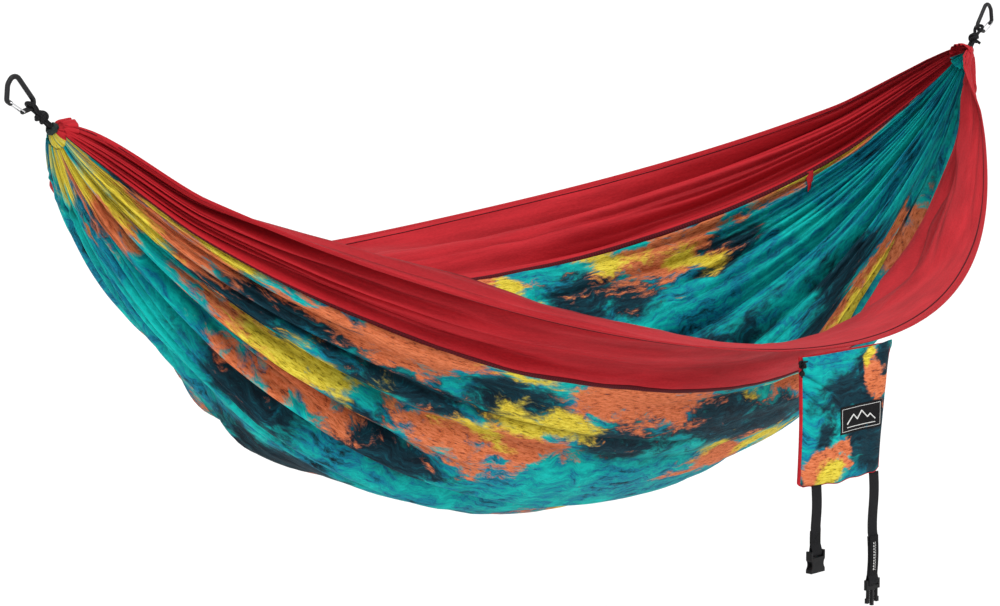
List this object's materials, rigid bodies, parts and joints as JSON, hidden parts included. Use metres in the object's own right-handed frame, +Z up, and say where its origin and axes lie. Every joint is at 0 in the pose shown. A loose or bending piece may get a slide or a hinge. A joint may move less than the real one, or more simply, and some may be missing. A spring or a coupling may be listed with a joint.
{
  "type": "camping hammock",
  "caption": "Two-person gathered-end cloth hammock with a carabiner at each end and a stuff sack with buckled compression straps on one rim.",
  "frame": {"origin": "inside the left carabiner's bow, where the tree strap pulls", "axes": "+X along the hammock from the left end to the right end, -Y towards the rim with the stuff sack, +Z up"},
  "size_m": [2.4197, 1.2581, 0.8833],
  "materials": {
    "printed_nylon": "printed, crinkled, slight sheen",
    "crimson_nylon": "plain weave, slight sheen",
    "black_cord": "braided",
    "black_alloy": "black anodised, satin",
    "steel_wire": "bright drawn wire",
    "black_webbing": "flat woven",
    "woven_label": "satin woven with a light border",
    "black_nylon": "moulded, fine grain"
  },
  "bodies": {
    "hammock": {"centre_panel": "printed_nylon", "near_side_panel": "crimson_nylon", "far_side_panel": "crimson_nylon", "left_end_sleeve": "printed_nylon", "right_end_sleeve": "printed_nylon"},
    "left_tether": {"left_tether_rope": "black_cord", "left_tether_knot": "black_cord"},
    "right_tether": {"right_tether_rope": "black_cord", "right_tether_knot": "black_cord"},
    "left_carabiner": {"left_carabiner": "black_alloy"},
    "right_carabiner": {"right_carabiner": "black_alloy"},
    "left_gate": {"left_gate": "steel_wire"},
    "right_gate": {"right_gate": "steel_wire"},
    "sack": {"sack_front": "printed_nylon", "sack_back": "crimson_nylon", "sack_drawcord": "black_cord", "drawcord_knot": "black_cord", "drawcord_bead": "black_nylon", "sack_label": "woven_label"},
    "socket_strap": {"socket_strap": "black_webbing"},
    "prong_strap": {"prong_strap": "black_webbing", "strap_tag": "woven_label"},
    "socket_buckle": {"socket_buckle": "black_nylon"},
    "prong_buckle": {"prong_buckle": "black_nylon"},
    "left_prong": {"left_prong": "black_nylon"},
    "right_prong": {"right_prong": "black_nylon"}
  },
  "joints": [
    {"name": "left_tether_swing", "type": "hinge", "parent": "hammock", "child": "left_tether", "pos_m": [0.06877, 0, -0.07039], "axis": [0, 1, 0], "range_deg": [-45, 40]},
    {"name": "right_tether_swing", "type": "hinge", "parent": "hammock", "child": "right_tether", "pos_m": [2.32746, 0, -0.06939], "axis": [0, -1, 0], "range_deg": [-45, 40]},
    {"name": "left_carabiner_swing", "type": "hinge", "parent": "left_tether", "child": "left_carabiner", "pos_m": [0.03439, 0, -0.03834], "axis": [0.682, 0, 0.7314], "range_deg": [-50, 50]},
    {"name": "right_carabiner_swing", "type": "hinge", "parent": "right_tether", "child": "right_carabiner", "pos_m": [2.35767, 0, -0.03338], "axis": [0.766, 0, -0.6428], "range_deg": [-50, 50]},
    {"name": "left_gate_hinge", "type": "hinge", "parent": "left_carabiner", "child": "left_gate", "pos_m": [0.01732, 0, -0.04427], "axis": [0, 1, 0], "range_deg": [0, 24], "stiffness_Nm_per_rad": 0.3, "springref_deg": -17.19},
    {"name": "right_gate_hinge", "type": "hinge", "parent": "right_carabiner", "child": "right_gate", "pos_m": [2.37503, 0, -0.03841], "axis": [0, -1, 0], "range_deg": [0, 24], "stiffness_Nm_per_rad": 0.3, "springref_deg": -17.19},
    {"name": "sack_swing", "type": "hinge", "parent": "hammock", "child": "sack", "pos_m": [1.15864, -0.56651, -0.44996], "axis": [1, 0, 0], "range_deg": [-100, 12]},
    {"name": "socket_strap_swing", "type": "hinge", "parent": "sack", "child": "socket_strap", "pos_m": [1.09164, -0.57601, -0.65736], "axis": [1, 0, 0], "range_deg": [-75, 60]},
    {"name": "prong_strap_swing", "type": "hinge", "parent": "sack", "child": "prong_strap", "pos_m": [1.24064, -0.57601, -0.65736], "axis": [1, 0, 0], "range_deg": [-75, 60]},
    {"name": "socket_buckle_swing", "type": "hinge", "parent": "socket_strap", "child": "socket_buckle", "pos_m": [1.09164, -0.57601, -0.75736], "axis": [1, 0, 0], "range_deg": [-60, 60]},
    {"name": "prong_buckle_swing", "type": "hinge", "parent": "prong_strap", "child": "prong_buckle", "pos_m": [1.24064, -0.57601, -0.82736], "axis": [1, 0, 0], "range_deg": [-60, 60]},
    {"name": "left_prong_flex", "type": "hinge", "parent": "prong_buckle", "child": "left_prong", "pos_m": [1.22984, -0.57601, -0.84176], "axis": [0, -1, 0], "range_deg": [0, 9], "stiffness_Nm_per_rad": 0.3, "springref_deg": -1.15},
    {"name": "right_prong_flex", "type": "hinge", "parent": "prong_buckle", "child": "right_prong", "pos_m": [1.25144, -0.57601, -0.84176], "axis": [0, 1, 0], "range_deg": [0, 9], "stiffness_Nm_per_rad": 0.3, "springref_deg": -1.15}
  ]
}
